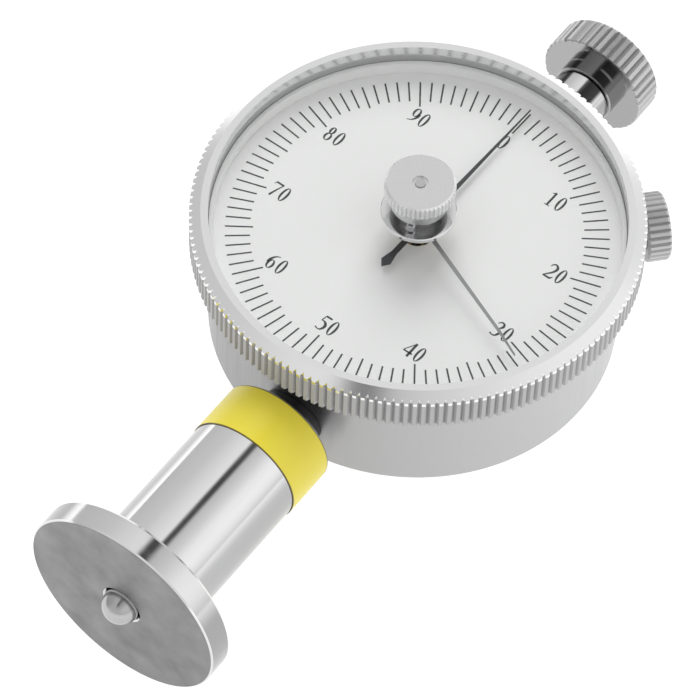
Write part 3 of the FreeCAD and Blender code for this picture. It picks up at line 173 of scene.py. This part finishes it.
def make_sky():
    """Tent around the Y axis, so that round stems show its bands along their length."""
    world = bpy.data.worlds.new("studio")
    world.use_nodes = True
    bpy.context.scene.world = world
    tree = world.node_tree
    direction = tree.nodes.new("ShaderNodeTexCoord").outputs["Generated"]
    split = tree.nodes.new("ShaderNodeSeparateXYZ")
    tree.links.new(direction, split.inputs[0])
    angle = math_node(tree, "ARCTAN2", split.outputs["X"], split.outputs["Z"])
    place = math_node(tree, "MULTIPLY_ADD", angle, 1 / (2 * math.pi), 0.5)
    ramp = tree.nodes.new("ShaderNodeValToRGB")
    stops = ramp.color_ramp.elements
    while len(stops) < len(TENT_STOPS):
        stops.new(0.5)
    for stop, (degrees, level) in zip(stops, TENT_STOPS):
        stop.position = degrees / 360 + 0.5
        stop.color = (level, level, level, 1)
    tree.links.new(place, ramp.inputs["Fac"])
    ends = math_node(tree, "ABSOLUTE", split.outputs["Y"])
    blend = tree.nodes.new("ShaderNodeMix")
    blend.data_type = "RGBA"
    tree.links.new(ranged(tree, ends, END_START, END_FULL, 0.0, 1.0), blend.inputs["Factor"])
    tree.links.new(ramp.outputs["Color"], blend.inputs[6])
    blend.inputs[7].default_value = (END_LEVEL, END_LEVEL, END_LEVEL, 1)
    tent = tree.nodes["Background"]
    tree.links.new(blend.outputs[2], tent.inputs["Color"])
    tent.inputs["Strength"].default_value = TENT_STRENGTH


def make_lamp():
    """Soft lamp that lights and shades, but is not mirrored."""
    data = bpy.data.lights.new("lamp", "AREA")
    data.shape = "SQUARE"
    data.size = LAMP_SIZE
    data.energy = LAMP_POWER
    lamp = bpy.data.objects.new("lamp", data)
    lamp.location = LAMP_PLACE
    lamp.rotation_mode = "QUATERNION"
    lamp.rotation_quaternion = (Vector(LAMP_PLACE) - CAMERA_AIM).to_track_quat("Z", "Y")
    lamp.visible_glossy = False
    bpy.context.scene.collection.objects.link(lamp)


# Materials. Noise gives each its grain, tone and sheen. Leans are degrees about the Y axis.

# Painted shade: the sides of round pieces are darkened between these leans.
SHADED_SIDE_LEANS = ((-34, -44), (46, 66))
# Painted reflection: these leans and this colour give dark streaks standing in for dark things
# mirrored in polished necks.
REFLECTION_STREAK_LEANS = ((-58, -50, -26, -18), (12, 18, 40, 50))
REFLECTION_STREAK_COLOR = (0.05, 0.05, 0.05)
SQUARE_START = 0.5
SQUARE_FULL = 0.8
COAT_ROUGHNESS = 0.06


class Finish:
    """Principled material whose colour and roughness wander with a stretched noise."""

    def __init__(self, name, color, roughness, metallic=1.0, grain=(1, 1, 1), scale=400,
                 tone=0.04, spread=0.05, bump=0.02, coat=0.0):
        self.material = bpy.data.materials.new(name)
        self.material.use_nodes = True
        self.tree = self.material.node_tree
        self.shader = self.tree.nodes["Principled BSDF"]
        self.shader.inputs["Metallic"].default_value = metallic
        self.shader.inputs["Coat Weight"].default_value = coat
        self.shader.inputs["Coat Roughness"].default_value = COAT_ROUGHNESS
        self.place = self.tree.nodes.new("ShaderNodeTexCoord").outputs["Object"]
        noise = self.noise(grain, scale)
        light = tuple(min(1.0, c * (1 + tone)) for c in color)
        dark = tuple(c * (1 - tone) for c in color)
        self.color = self.mixed(noise, dark, light)
        self.roughness = ranged(self.tree, noise, 0.3, 0.7, roughness - spread,
                                roughness + spread)
        relief = self.tree.nodes.new("ShaderNodeBump")
        relief.inputs["Strength"].default_value = 1.0
        relief.inputs["Distance"].default_value = bump * MM
        self.tree.links.new(noise, relief.inputs["Height"])
        self.tree.links.new(relief.outputs["Normal"], self.shader.inputs["Normal"])

    def noise(self, grain, scale, detail=4.0):
        mapping = self.tree.nodes.new("ShaderNodeMapping")
        mapping.inputs["Scale"].default_value = grain
        self.tree.links.new(self.place, mapping.inputs["Vector"])
        noise = self.tree.nodes.new("ShaderNodeTexNoise")
        noise.inputs["Scale"].default_value = scale
        noise.inputs["Detail"].default_value = detail
        self.tree.links.new(mapping.outputs["Vector"], noise.inputs["Vector"])
        return noise.outputs["Fac"]

    def mixed(self, factor, first, second):
        """Colour between two others, each a colour or a socket."""
        node = self.tree.nodes.new("ShaderNodeMix")
        node.data_type = "RGBA"
        self.tree.links.new(factor, node.inputs["Factor"])
        for socket, value in ((node.inputs[6], first), (node.inputs[7], second)):
            if isinstance(value, tuple):
                socket.default_value = (*value, 1)
            else:
                self.tree.links.new(value, socket)
        return node.outputs[2]

    def axis(self, letter):
        split = self.tree.nodes.new("ShaderNodeSeparateXYZ")
        self.tree.links.new(self.place, split.inputs[0])
        return split.outputs[letter]

    def reach(self):
        """Distance from the Z axis."""
        flat = self.tree.nodes.new("ShaderNodeVectorMath")
        flat.operation = "MULTIPLY"
        flat.inputs[1].default_value = (1, 1, 0)
        self.tree.links.new(self.place, flat.inputs[0])
        length = self.tree.nodes.new("ShaderNodeVectorMath")
        length.operation = "LENGTH"
        self.tree.links.new(flat.outputs["Vector"], length.inputs[0])
        return length.outputs["Value"]

    def normal(self):
        """The three parts of the surface's direction."""
        split = self.tree.nodes.new("ShaderNodeSeparateXYZ")
        normal = self.tree.nodes.new("ShaderNodeTexCoord").outputs["Normal"]
        self.tree.links.new(normal, split.inputs[0])
        return split.outputs

    def lean(self):
        """Angle of the surface about the Y axis, in degrees from +Z toward +X."""
        normal = self.normal()
        angle = math_node(self.tree, "ARCTAN2", normal["X"], normal["Z"])
        return math_node(self.tree, "MULTIPLY", angle, 180 / math.pi)

    def round_part(self):
        """One on surfaces round the Y axis, and none on faces square to it."""
        square = math_node(self.tree, "ABSOLUTE", self.normal()["Y"])
        return ranged(self.tree, square, SQUARE_START, SQUARE_FULL, 1.0, 0.0)

    def dull_sides(self, color):
        """Painted shade: darker where a round piece faces the pale floor, so that its edges stay
        visible.
        """
        lean = self.lean()
        part = self.round_part()
        for near, far in SHADED_SIDE_LEANS:
            side = ranged(self.tree, lean, near, far, 0.0, 1.0)
            self.tint(math_node(self.tree, "MULTIPLY", side, part), color)

    def dark_bands(self, amount=1.0):
        """Painted reflection: dark streaks along a polished neck, standing in for the dark
        things that stand round it.
        """
        lean = self.lean()
        part = math_node(self.tree, "MULTIPLY", self.round_part(), amount)
        for start, full, fade, end in REFLECTION_STREAK_LEANS:
            rise = ranged(self.tree, lean, start, full, 0.0, 1.0)
            fall = ranged(self.tree, lean, fade, end, 1.0, 0.0)
            band = math_node(self.tree, "MULTIPLY", rise, fall)
            self.tint(math_node(self.tree, "MULTIPLY", band, part), REFLECTION_STREAK_COLOR)

    def tint(self, factor, color):
        self.color = self.mixed(factor, self.color, color)

    def roughen(self, factor, value):
        node = self.tree.nodes.new("ShaderNodeMix")
        self.tree.links.new(factor, node.inputs["Factor"])
        self.tree.links.new(self.roughness, node.inputs[2])
        node.inputs[3].default_value = value
        self.roughness = node.outputs[0]

    def done(self):
        self.tree.links.new(self.color, self.shader.inputs["Base Color"])
        self.tree.links.new(self.roughness, self.shader.inputs["Roughness"])
        return self.material


def case_finish():
    """Satin chrome, drawn along the case axis, with painted shade that darkens it toward the
    left side.
    """
    finish = Finish("satin_case", (0.50, 0.50, 0.505), 0.33, grain=(1, 1, 0.03), scale=2200,
                    tone=0.05, spread=0.05, bump=0.004)
    left = ranged(finish.tree, finish.axis("X"), high("case_shell").x, low("case_shell").x,
                  0.0, 1.0, False)
    # Painted shade: the case is tinted darker toward its left side.
    finish.tint(left, (0.22, 0.22, 0.222))
    return finish.done()


LIP_DEPTH = 1.6 * MM
LIP_BLEND = 0.3 * MM
KNURL_METAL = 0.1
WALL_RADIUS = 27.2 * MM
WALL_BLEND = 0.2 * MM


def bezel_finish():
    """Bright turned lip and inner wall, and a satin knurl."""
    finish = Finish("bezel_chrome", (0.44, 0.44, 0.443), 0.46, metallic=KNURL_METAL,
                    grain=(1, 1, 0.2), scale=900, tone=0.03, spread=0.05, bump=0.001)
    start = high("bezel_ring").z - LIP_DEPTH
    lip = ranged(finish.tree, finish.axis("Z"), start, start + LIP_BLEND, 0.0, 1.0)
    finish.tint(lip, (0.90, 0.90, 0.905))
    finish.roughen(lip, 0.2)
    finish.tree.links.new(ranged(finish.tree, lip, 0.0, 1.0, KNURL_METAL, 1.0),
                          finish.shader.inputs["Metallic"])
    wall = ranged(finish.tree, finish.reach(), WALL_RADIUS, WALL_RADIUS - WALL_BLEND,
                  0.0, 1.0)
    finish.tint(wall, (0.90, 0.90, 0.90))
    return finish.done()


def stem_finish():
    """Polished chrome, with painted shade at the sides."""
    finish = Finish("stem_chrome", (0.84, 0.84, 0.845), 0.11, grain=(1, 0.15, 1), scale=700,
                    tone=0.03, spread=0.03, bump=0.0006)
    finish.dull_sides((0.44, 0.44, 0.443))
    return finish.done()


FACE_START = 0.06 * MM
FACE_FULL = 0.02 * MM


def foot_finish():
    """Bright rim round a pressing face that is lapped grey."""
    finish = Finish("foot_chrome", (0.80, 0.80, 0.805), 0.13, scale=500, tone=0.03, spread=0.04,
                    bump=0.0006)
    # Painted shade on the rim's sides.
    finish.dull_sides((0.34, 0.34, 0.343))
    end = low("presser_foot").y
    face = ranged(finish.tree, finish.axis("Y"), end + FACE_START, end + FACE_FULL, 0.0, 1.0)
    cloud = finish.noise((1, 1, 1), 260, 6.0)
    lapped = finish.mixed(cloud, (0.14, 0.14, 0.142), (0.36, 0.36, 0.362))
    finish.tint(face, lapped)
    finish.roughen(face, 0.45)
    return finish.done()


TAPE_MARGIN = 0.1 * MM
TAPE_LINE = 1.5 * TAPE_MARGIN


def band_finish():
    """Yellow tape with a thin dark line at each end."""
    finish = Finish("yellow_tape", (0.86, 0.73, 0.05), 0.4, metallic=0.0, scale=300,
                    tone=0.03, spread=0.04, bump=0.001, coat=0.15)
    place = finish.axis("Y")
    bottom = ranged(finish.tree, place, low("seal_band").y + TAPE_MARGIN,
                    low("seal_band").y + TAPE_LINE, 1.0, 0.0)
    top = ranged(finish.tree, place, high("seal_band").y - TAPE_LINE,
                 high("seal_band").y - TAPE_MARGIN, 0.0, 1.0)
    finish.tint(math_node(finish.tree, "MAXIMUM", bottom, top), (0.16, 0.12, 0.02))
    return finish.done()


SHADE_START = 0.97
SHADE_FULL = 0.55


def flange_finish():
    """Mirror-bright flange, with a painted dark reflection and shade round the middle where it
    faces the knob's underside.
    """
    finish = Finish("flange_chrome", (0.80, 0.80, 0.805), 0.12, scale=500, tone=0.02,
                    spread=0.02, bump=0.0002)
    edge = high("hub_flange").x
    shade = ranged(finish.tree, finish.reach(), SHADE_START * edge, SHADE_FULL * edge,
                   0.0, 1.0)
    # Painted reflection and shade: the dark tint stands in for the knob's underside mirrored in
    # the flange.
    finish.tint(shade, (0.26, 0.26, 0.26))
    return finish.done()


CAP_LENGTH = 4.6 * MM
CAP_BLEND = 0.2 * MM
COLLAR_START = 0.35 * MM
COLLAR_FULL = 0.45 * MM


def top_knob_finish():
    """Satin knurl with painted shade at its sides, a smoother face toward the neck, and painted
    dark reflections in streaks on the collar.
    """
    finish = Finish("cap_satin", (0.60, 0.60, 0.605), 0.3, scale=1500, tone=0.04, spread=0.05,
                    bump=0.0004)
    finish.dull_sides((0.48, 0.48, 0.485))
    cap = high("top_knob").y - CAP_LENGTH
    face = ranged(finish.tree, finish.axis("Y"), cap, cap - CAP_BLEND, 0.0, 1.0)
    finish.tint(face, (0.38, 0.38, 0.383))
    collar = ranged(finish.tree, finish.axis("Y"), cap - COLLAR_START, cap - COLLAR_FULL,
                    0.0, 1.0)
    finish.dark_bands(collar)
    finish.roughen(face, 0.14)
    return finish.done()


def neck_finish():
    """Polished chrome with painted dark reflections in streaks, and painted shade at the sides.
    """
    finish = Finish("neck_chrome", (0.80, 0.80, 0.805), 0.12, scale=500, tone=0.02,
                    spread=0.02, bump=0.0002)
    finish.dull_sides((0.34, 0.34, 0.343))
    finish.dark_bands()
    return finish.done()


CRYSTAL_IOR = 1.3
CRYSTAL_COLOR = (0.985, 0.988, 0.985, 1)
CRYSTAL_ROUGHNESS = 0.03


def crystal_finish():
    """Clear crystal: light goes straight through, and only its outer side reflects."""
    material = bpy.data.materials.new("crystal_clear")
    material.use_nodes = True
    tree = material.node_tree
    tree.nodes.remove(tree.nodes["Principled BSDF"])
    through = tree.nodes.new("ShaderNodeBsdfTransparent")
    through.inputs["Color"].default_value = CRYSTAL_COLOR
    gloss = tree.nodes.new("ShaderNodeBsdfGlossy")
    gloss.inputs["Roughness"].default_value = CRYSTAL_ROUGHNESS
    edge = tree.nodes.new("ShaderNodeFresnel")
    edge.inputs["IOR"].default_value = CRYSTAL_IOR
    inside = tree.nodes.new("ShaderNodeNewGeometry").outputs["Backfacing"]
    outside = math_node(tree, "SUBTRACT", 1.0, inside)
    blend = tree.nodes.new("ShaderNodeMixShader")
    tree.links.new(math_node(tree, "MULTIPLY", edge.outputs[0], outside), blend.inputs[0])
    tree.links.new(through.outputs[0], blend.inputs[1])
    tree.links.new(gloss.outputs[0], blend.inputs[2])
    tree.links.new(blend.outputs[0], tree.nodes["Material Output"].inputs["Surface"])
    return material


def dress():
    """Give every CAD node its material."""
    steel = Finish("ground_steel", (0.62, 0.62, 0.63), 0.28, scale=900, tone=0.05,
                   bump=0.001).done()
    brass = Finish("machined_brass", (0.80, 0.62, 0.30), 0.3, scale=700, tone=0.06,
                   bump=0.001).done()
    spring = Finish("spring_wire", (0.42, 0.44, 0.48), 0.3, scale=1200, tone=0.08,
                    bump=0.001).done()
    ball = Finish("ball_steel", (0.46, 0.46, 0.463), 0.22, scale=900, tone=0.05, spread=0.05,
                  bump=0.001).done()
    clamp = Finish("clamp_satin", (0.52, 0.52, 0.523), 0.35, metallic=0.6, scale=1500,
                   tone=0.04, spread=0.05, bump=0.0004).done()
    knob = Finish("knob_satin", (0.80, 0.80, 0.805), 0.3, scale=1500, tone=0.015, spread=0.03,
                  bump=0.0001).done()
    black = Finish("black_collar", (0.015, 0.015, 0.017), 0.35, metallic=0.0, scale=800,
                   tone=0.2, bump=0.001).done()
    rubber = Finish("seal_rubber", (0.88, 0.88, 0.88), 0.6, metallic=0.0, scale=800,
                    tone=0.05, bump=0.001).done()
    dial = Finish("dial_enamel", (0.84, 0.84, 0.84), 0.55, metallic=0.0, scale=1500, tone=0.01,
                  spread=0.05, bump=0.0005).done()
    dark = Finish("dark_pointer", (0.06, 0.06, 0.065), 0.4, metallic=0.3, scale=900,
                  tone=0.1, bump=0.001).done()
    grey = Finish("grey_pointer", (0.30, 0.30, 0.305), 0.4, metallic=0.3, scale=900,
                  tone=0.05, bump=0.001).done()
    by_slot = {
        "case_metal": case_finish(), "bezel_metal": bezel_finish(), "stem_chrome": stem_finish(),
        "foot_metal": foot_finish(), "knob_metal": knob, "black_collar": black,
        "yellow_band": band_finish(), "dial_white": dial, "crystal_clear": crystal_finish(),
        "seal_rubber": rubber, "dark_pointer": dark, "grey_pointer": grey, "steel": steel,
        "spring_steel": spring, "brass": brass}
    by_node = {"hub_flange": flange_finish(), "indenter": ball, "neck_tube": neck_finish(),
               "clamp_knob": clamp, "clamp_boss": clamp, "top_knob": top_knob_finish()}
    for row in frame["record"]["subparts"]:
        name = row["node"]
        mesh = nodes[name].data
        mesh.materials.clear()
        mesh.materials.append(by_node.get(name, by_slot[row["material_slot"]]))


# Print on the dial: a hundred ticks and a numeral at every tenth.

DIVISIONS = 100
STEP = 2 * math.pi / DIVISIONS
DIAL_TURN = math.radians(1.35)
TICK_OUTSIDE = 25.3 * MM
TICK_INSIDE = {10: 21.1 * MM, 5: 21.6 * MM, 1: 22.0 * MM}
TICK_WIDTH = 0.23 * MM
NUMERAL_CIRCLE = 19.2 * MM
NUMERAL_HEIGHT = 2.5 * MM
NUMERAL_ADVANCE = 0.6
INK_LIFT = 0.015 * MM
INK_WEIGHT = 1.15
RIBBON_STEPS = 8

# Each stroke is (x, y, width) points on its centreline, in numeral heights, from the baseline.
STROKES = {
    "1": [[(0.02, 0.02, 0.11), (0.02, 0.97, 0.11)], [(-0.15, 0.02, 0.04), (0.19, 0.02, 0.04)],
          [(-0.17, 0.84, 0.04), (0.03, 0.96, 0.06)]],
    "2": [[(-0.22, 0.74, 0.04), (-0.14, 0.92, 0.07), (0.02, 0.97, 0.09), (0.18, 0.78, 0.13),
           (0.08, 0.46, 0.10), (-0.24, 0.06, 0.05)],
          [(-0.25, 0.05, 0.10), (0.19, 0.05, 0.10)], [(0.17, 0.05, 0.09), (0.27, 0.22, 0.03)]],
    "3": [[(-0.20, 0.80, 0.04), (-0.07, 0.96, 0.07), (0.11, 0.93, 0.10), (0.15, 0.74, 0.12),
           (0.03, 0.57, 0.06), (-0.08, 0.53, 0.03)],
          [(-0.03, 0.55, 0.03), (0.14, 0.46, 0.10), (0.19, 0.27, 0.13), (0.08, 0.06, 0.08),
           (-0.10, 0.03, 0.06), (-0.23, 0.09, 0.08)]],
    "4": [[(0.11, 0.97, 0.05), (-0.27, 0.29, 0.05)], [(-0.28, 0.27, 0.08), (0.28, 0.27, 0.08)],
          [(0.11, 0.0, 0.12), (0.11, 0.98, 0.12)]],
    "5": [[(-0.13, 0.94, 0.10), (0.24, 0.94, 0.10)], [(-0.12, 0.94, 0.05), (-0.19, 0.60, 0.05)],
          [(-0.19, 0.60, 0.04), (0.03, 0.58, 0.10), (0.18, 0.36, 0.14), (0.09, 0.08, 0.09),
           (-0.09, 0.03, 0.05), (-0.23, 0.08, 0.08)]],
    "6": [[(0.22, 0.98, 0.03), (-0.02, 0.86, 0.07), (-0.18, 0.58, 0.12), (-0.20, 0.33, 0.12)]],
    "7": [[(-0.23, 0.94, 0.10), (0.25, 0.94, 0.10)], [(-0.22, 0.94, 0.04), (-0.27, 0.78, 0.03)],
          [(0.23, 0.94, 0.05), (0.06, 0.45, 0.08), (-0.06, 0.0, 0.11)]],
    "9": [[(-0.22, 0.02, 0.03), (0.02, 0.14, 0.07), (0.18, 0.42, 0.12), (0.20, 0.67, 0.12)]],
}
# Each bowl is (height of its centre, half width, half height), with thick sides and thin ends.
BOWLS = {"0": [(0.5, 0.22, 0.50)], "6": [(0.31, 0.22, 0.31)], "8": [(0.74, 0.18, 0.26),
         (0.27, 0.22, 0.28)], "9": [(0.69, 0.22, 0.31)]}
BOWL_THICK = 0.13
BOWL_THIN = 0.05
BOWL_STEPS = 28


def smooth_line(points):
    """Points and widths on a smooth curve through a stroke's own points."""
    if len(points) == 2:
        return [Vector(point) for point in points]
    knots = [Vector(point) for point in [points[0], *points, points[-1]]]
    line = []
    for a, b, c, d in zip(knots, knots[1:], knots[2:], knots[3:]):
        for step in range(RIBBON_STEPS):
            t = step / RIBBON_STEPS
            line.append(0.5 * (2 * b + (c - a) * t + (2 * a - 5 * b + 4 * c - d) * t ** 2
                               + (3 * b - a - 3 * c + d) * t ** 3))
    return line + [knots[-1]]


def ribbon(points):
    """Quads of a stroke whose width follows its points."""
    line = smooth_line(points)
    sides = []
    for index, spot in enumerate(line):
        before = line[max(index - 1, 0)]
        after = line[min(index + 1, len(line) - 1)]
        run = Vector((after.x - before.x, after.y - before.y)).normalized()
        half = Vector((-run.y, run.x)) * spot.z * INK_WEIGHT / 2
        middle = Vector((spot.x, spot.y))
        sides.append((middle - half, middle + half))
    return [[a[0], b[0], b[1], a[1]] for a, b in zip(sides, sides[1:])]


def bowl(centre, half_width, half_height):
    """Quads of an oval with thick sides and thin ends."""
    rings = []
    for index in range(BOWL_STEPS + 1):
        angle = 2 * math.pi * index / BOWL_STEPS
        direction = Vector((math.cos(angle), math.sin(angle)))
        outer = Vector((half_width * direction.x, centre + half_height * direction.y))
        inner = Vector(((half_width - BOWL_THICK) * direction.x,
                        centre + (half_height - BOWL_THIN) * direction.y))
        rings.append((inner, outer))
    return [[a[0], a[1], b[1], b[0]] for a, b in zip(rings, rings[1:])]


def numeral(figure):
    quads = [quad for stroke in STROKES.get(figure, []) for quad in ribbon(stroke)]
    return quads + [quad for oval in BOWLS.get(figure, []) for quad in bowl(*oval)]


def on_dial(reading):
    """Direction of a reading on the dial, from its centre."""
    angle = reading * STEP + DIAL_TURN
    return Vector((math.sin(angle), math.cos(angle)))


def flat_piece(name, quads, height, material, body):
    """Thin print made of quads, on a surface at this height."""
    corners = [(corner.x, corner.y, height) for quad in quads for corner in quad]
    faces = [tuple(range(4 * index, 4 * index + 4)) for index in range(len(quads))]
    mesh = bpy.data.meshes.new(name)
    mesh.from_pydata(corners, [], faces)
    mesh.materials.append(material)
    piece = bpy.data.objects.new(name, mesh)
    bpy.context.scene.collection.objects.link(piece)
    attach(piece, body)
    return piece


def print_dial():
    ink = Finish("dial_ink", (0.055, 0.055, 0.058), 0.5, metallic=0.0, scale=2500, tone=0.15,
                 spread=0.05, bump=0.001).done()
    ticks = []
    for division in range(DIVISIONS):
        outward = on_dial(division)
        sideways = Vector((outward.y, -outward.x)) * TICK_WIDTH / 2
        inside = TICK_INSIDE[10 if division % 10 == 0 else 5 if division % 5 == 0 else 1]
        ticks.append([outward * inside - sideways, outward * inside + sideways,
                      outward * TICK_OUTSIDE + sideways, outward * TICK_OUTSIDE - sideways])
    height = high("dial_plate").z + INK_LIFT
    flat_piece("dial_ticks", ticks, height, ink, "bezel_unit")
    level = Matrix.Rotation(-DIAL_TURN, 2)
    figures = []
    for tens in range(0, DIVISIONS, 10):
        label = str(tens)
        centre = on_dial(tens) * NUMERAL_CIRCLE
        for place, figure in enumerate(label):
            shift = Vector(((place - (len(label) - 1) / 2) * NUMERAL_ADVANCE, -0.5))
            for quad in numeral(figure):
                figures.append([centre + level @ ((corner + shift) * NUMERAL_HEIGHT)
                                for corner in quad])
    flat_piece("dial_numerals", figures, height, ink, "bezel_unit")


# Load spring, drawn as a coil.

SPRING_TURNS = 6
WIRE_RADIUS = 0.35 * MM
COIL_STEPS = 24
WIRE_SIDES = 8


def coil_corners():
    """Rings of corners along the wire, in the box of the rigid spring."""
    start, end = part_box("main_spring")
    radius = (end.x - start.x) / 2 - WIRE_RADIUS
    rise = (end.y - start.y - 2 * WIRE_RADIUS) / (SPRING_TURNS * COIL_STEPS)
    corners = []
    for step in range(SPRING_TURNS * COIL_STEPS + 1):
        turn = 2 * math.pi * step / COIL_STEPS
        outward = Vector((math.cos(turn), 0, math.sin(turn)))
        middle = Vector(((start.x + end.x) / 2, start.y + WIRE_RADIUS + rise * step,
                         (start.z + end.z) / 2))
        for side in range(WIRE_SIDES):
            angle = 2 * math.pi * side / WIRE_SIDES
            corners.append(middle + outward * (radius + WIRE_RADIUS * math.cos(angle))
                           + Vector((0, WIRE_RADIUS * math.sin(angle), 0)))
    return corners


def load_spring():
    """Coil in place of the rigid spring, held at the adjuster's end."""
    corners = coil_corners()
    last = len(corners) - WIRE_SIDES
    faces = [(ring + side, ring + (side + 1) % WIRE_SIDES,
              ring + WIRE_SIDES + (side + 1) % WIRE_SIDES, ring + WIRE_SIDES + side)
             for ring in range(0, last, WIRE_SIDES) for side in range(WIRE_SIDES)]
    faces += [tuple(reversed(range(WIRE_SIDES))), tuple(range(last, last + WIRE_SIDES))]
    mesh = bpy.data.meshes.new("load_spring")
    mesh.from_pydata(corners, [], faces)
    mesh.materials.append(Finish("load_spring_wire", (0.42, 0.44, 0.48), 0.3, scale=1200,
                                 tone=0.08, bump=0.001).done())
    spring = bpy.data.objects.new("load_spring", mesh)
    bpy.context.scene.collection.objects.link(spring)
    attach(spring, "case")
    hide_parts("main_spring")
    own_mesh(spring)


bpy.context.scene.view_settings.view_transform = "Standard"
make_camera()
make_floor()
make_sky()
make_lamp()
dress()
print_dial()
load_spring()
